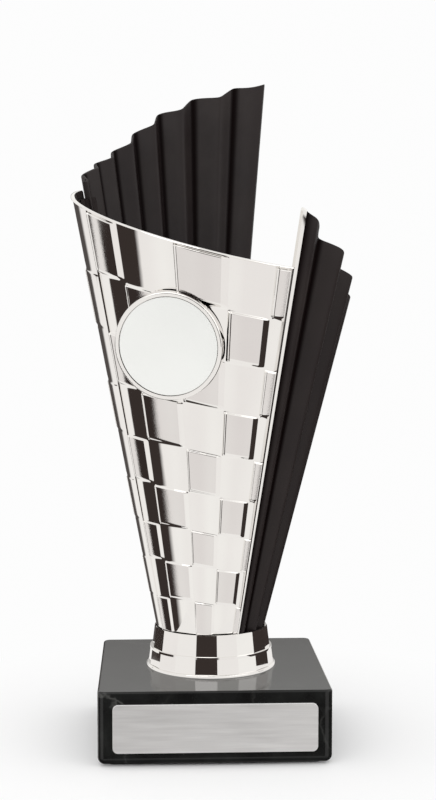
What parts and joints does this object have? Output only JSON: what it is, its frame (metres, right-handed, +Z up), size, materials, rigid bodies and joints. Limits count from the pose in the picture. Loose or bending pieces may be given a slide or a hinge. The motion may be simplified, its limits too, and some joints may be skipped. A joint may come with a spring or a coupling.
{
  "type": "figure trophy",
  "caption": "Tall cone-shaped presentation cup with a checkered silver front and a fluted black wrap-around back, bolted to a square polished stone block with a blank plate.",
  "frame": {"origin": "centre of the stone block's footprint, on the underside of the felt, so the trophy stands on z = 0", "axes": "+Z up along the clamp bolt and the longest extent; -Y is the front, the side with the engraving plate and the disc; +X is the viewer's right"},
  "size_m": [0.0757, 0.0867, 0.1838],
  "materials": {
    "marble": "polished",
    "felt": "matte felt",
    "adhesive": "clear double-sided film",
    "satin_plate": "satin",
    "silver_plating": "bright vacuum-metallised plastic",
    "black_plastic": "satin gloss",
    "disc_face": "pale satin",
    "spring_steel": "oiled",
    "plug_plastic": "moulded",
    "zinc_steel": "zinc plated"
  },
  "bodies": {
    "root": {"marble_base": "marble", "felt_pad": "felt", "plate_adhesive": "adhesive", "engraving_plate": "satin_plate", "foot_collar": "silver_plating", "front_shell": "silver_plating", "back_shell": "black_plastic", "disc_bezel": "silver_plating", "disc_adhesive": "adhesive", "centre_disc": "disc_face", "peg_clips": "spring_steel", "clamp_plug": "plug_plastic", "clamp_bolt": "zinc_steel", "flat_washer": "zinc_steel", "spring_washer": "spring_steel", "hex_nut": "zinc_steel"}
  },
  "joints": []
}
